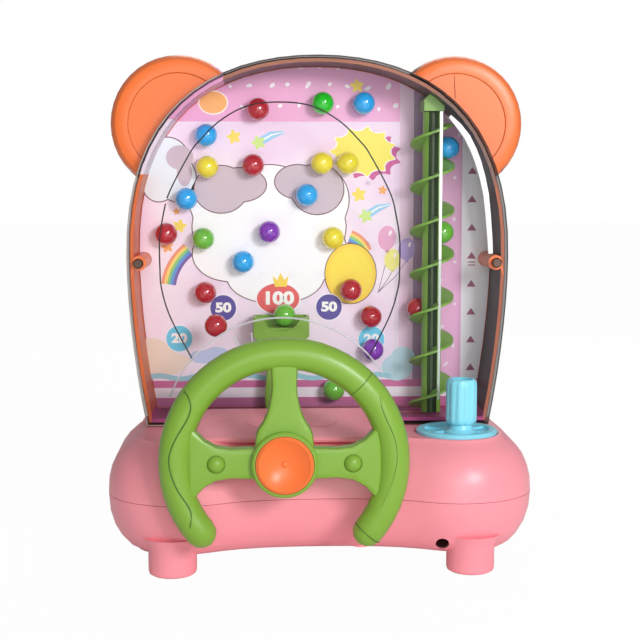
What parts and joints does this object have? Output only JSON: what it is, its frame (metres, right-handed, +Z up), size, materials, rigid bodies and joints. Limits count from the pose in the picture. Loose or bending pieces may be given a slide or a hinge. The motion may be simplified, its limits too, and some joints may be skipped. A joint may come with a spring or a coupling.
{
  "type": "tabletop ball-catching game",
  "caption": "Toy pachinko game: pink base with legs, eared orange tray, clear window over pegs and balls, steering wheel catcher, crank and screw lift.",
  "frame": {"origin": "centre of the bounding box at the ground", "axes": "+Z up, front of the toy towards -Y, +X to the right seen from the front"},
  "size_m": [0.265, 0.146, 0.3187],
  "materials": {
    "pink": "satin moulded pink",
    "orange": "satin moulded orange",
    "green": "satin moulded green",
    "cyan": "satin moulded light blue",
    "clear": "clear polystyrene",
    "card": "printed card",
    "white": "natural acetal",
    "steel": "zinc plated",
    "ball_red": "gloss",
    "ball_lime": "gloss",
    "ball_blue": "gloss",
    "ball_yellow": "gloss",
    "ball_green": "gloss",
    "ball_purple": "gloss"
  },
  "bodies": {
    "base": {"auger_top_bush": "green", "ball_01_red": "ball_red", "ball_02_lime": "ball_lime", "ball_03_blue": "ball_blue", "ball_04_blue": "ball_blue", "ball_05_yellow": "ball_yellow", "ball_06_red": "ball_red", "ball_07_yellow": "ball_yellow", "ball_08_yellow": "ball_yellow", "ball_09_blue": "ball_blue", "ball_10_blue": "ball_blue", "ball_11_red": "ball_red", "ball_12_leaf": "ball_green", "ball_13_purple": "ball_purple", "ball_14_yellow": "ball_yellow", "ball_15_blue": "ball_blue", "ball_16_red": "ball_red", "ball_17_red": "ball_red", "ball_18_red": "ball_red", "ball_19_purple": "ball_purple", "ball_20_red": "ball_red", "ball_21_leaf": "ball_green", "ball_ramp": "clear", "base_lower_shell": "pink", "base_screw_1": "steel", "base_screw_2": "steel", "base_screw_3": "steel", "base_screw_4": "steel", "base_upper_shell": "pink", "front_cover": "clear", "gear_plate": "white", "plate_screw_1": "steel", "plate_screw_2": "steel", "plate_screw_3": "steel", "print_card": "card", "rear_shell": "orange", "shaft_bracket": "white", "side_screw_left": "steel", "side_screw_right": "steel"},
    "steering": {"steering_wheel": "green", "wheel_stud_left": "green", "wheel_stud_right": "green", "horn_spring": "steel", "steering_shaft": "steel", "catcher_arm": "green", "ball_22_caught": "ball_green"},
    "horn": {"horn_button": "orange"},
    "crank": {"crank_disc": "cyan", "crank_gear": "white", "grip_screw": "steel"},
    "grip": {"crank_grip": "cyan"},
    "lift": {"auger": "green", "auger_gear": "white", "ball_23_blue": "ball_blue", "ball_24_leaf": "ball_green", "ball_25_red": "ball_red"}
  },
  "joints": [
    {"name": "steering_turn", "type": "hinge", "parent": "base", "child": "steering", "pos_m": [-0.0235, 0, 0.075], "axis": [0, 1, 0], "range_deg": [-30, 30]},
    {"name": "horn_press", "type": "slide", "parent": "steering", "child": "horn", "axis": [0, 1, 0], "range_m": [0, 0.0024], "stiffness_N_per_m": 400},
    {"name": "crank_turn", "type": "hinge", "parent": "base", "child": "crank", "pos_m": [0.086, -0.004, 0.0815], "axis": [0, 0, 1], "continuous": true},
    {"name": "grip_spin", "type": "hinge", "parent": "crank", "child": "grip", "pos_m": [0.0875, -0.0125, 0.0886], "axis": [0, 0, 1], "continuous": true},
    {"name": "auger_spin", "type": "hinge", "parent": "base", "child": "lift", "pos_m": [0.0754, 0.0451, 0.0865], "axis": [0, 0, 1], "continuous": true}
  ],
  "couplings": [
    {"joint": "auger_spin", "follows": "crank_turn", "ratio": -1.4}
  ]
}
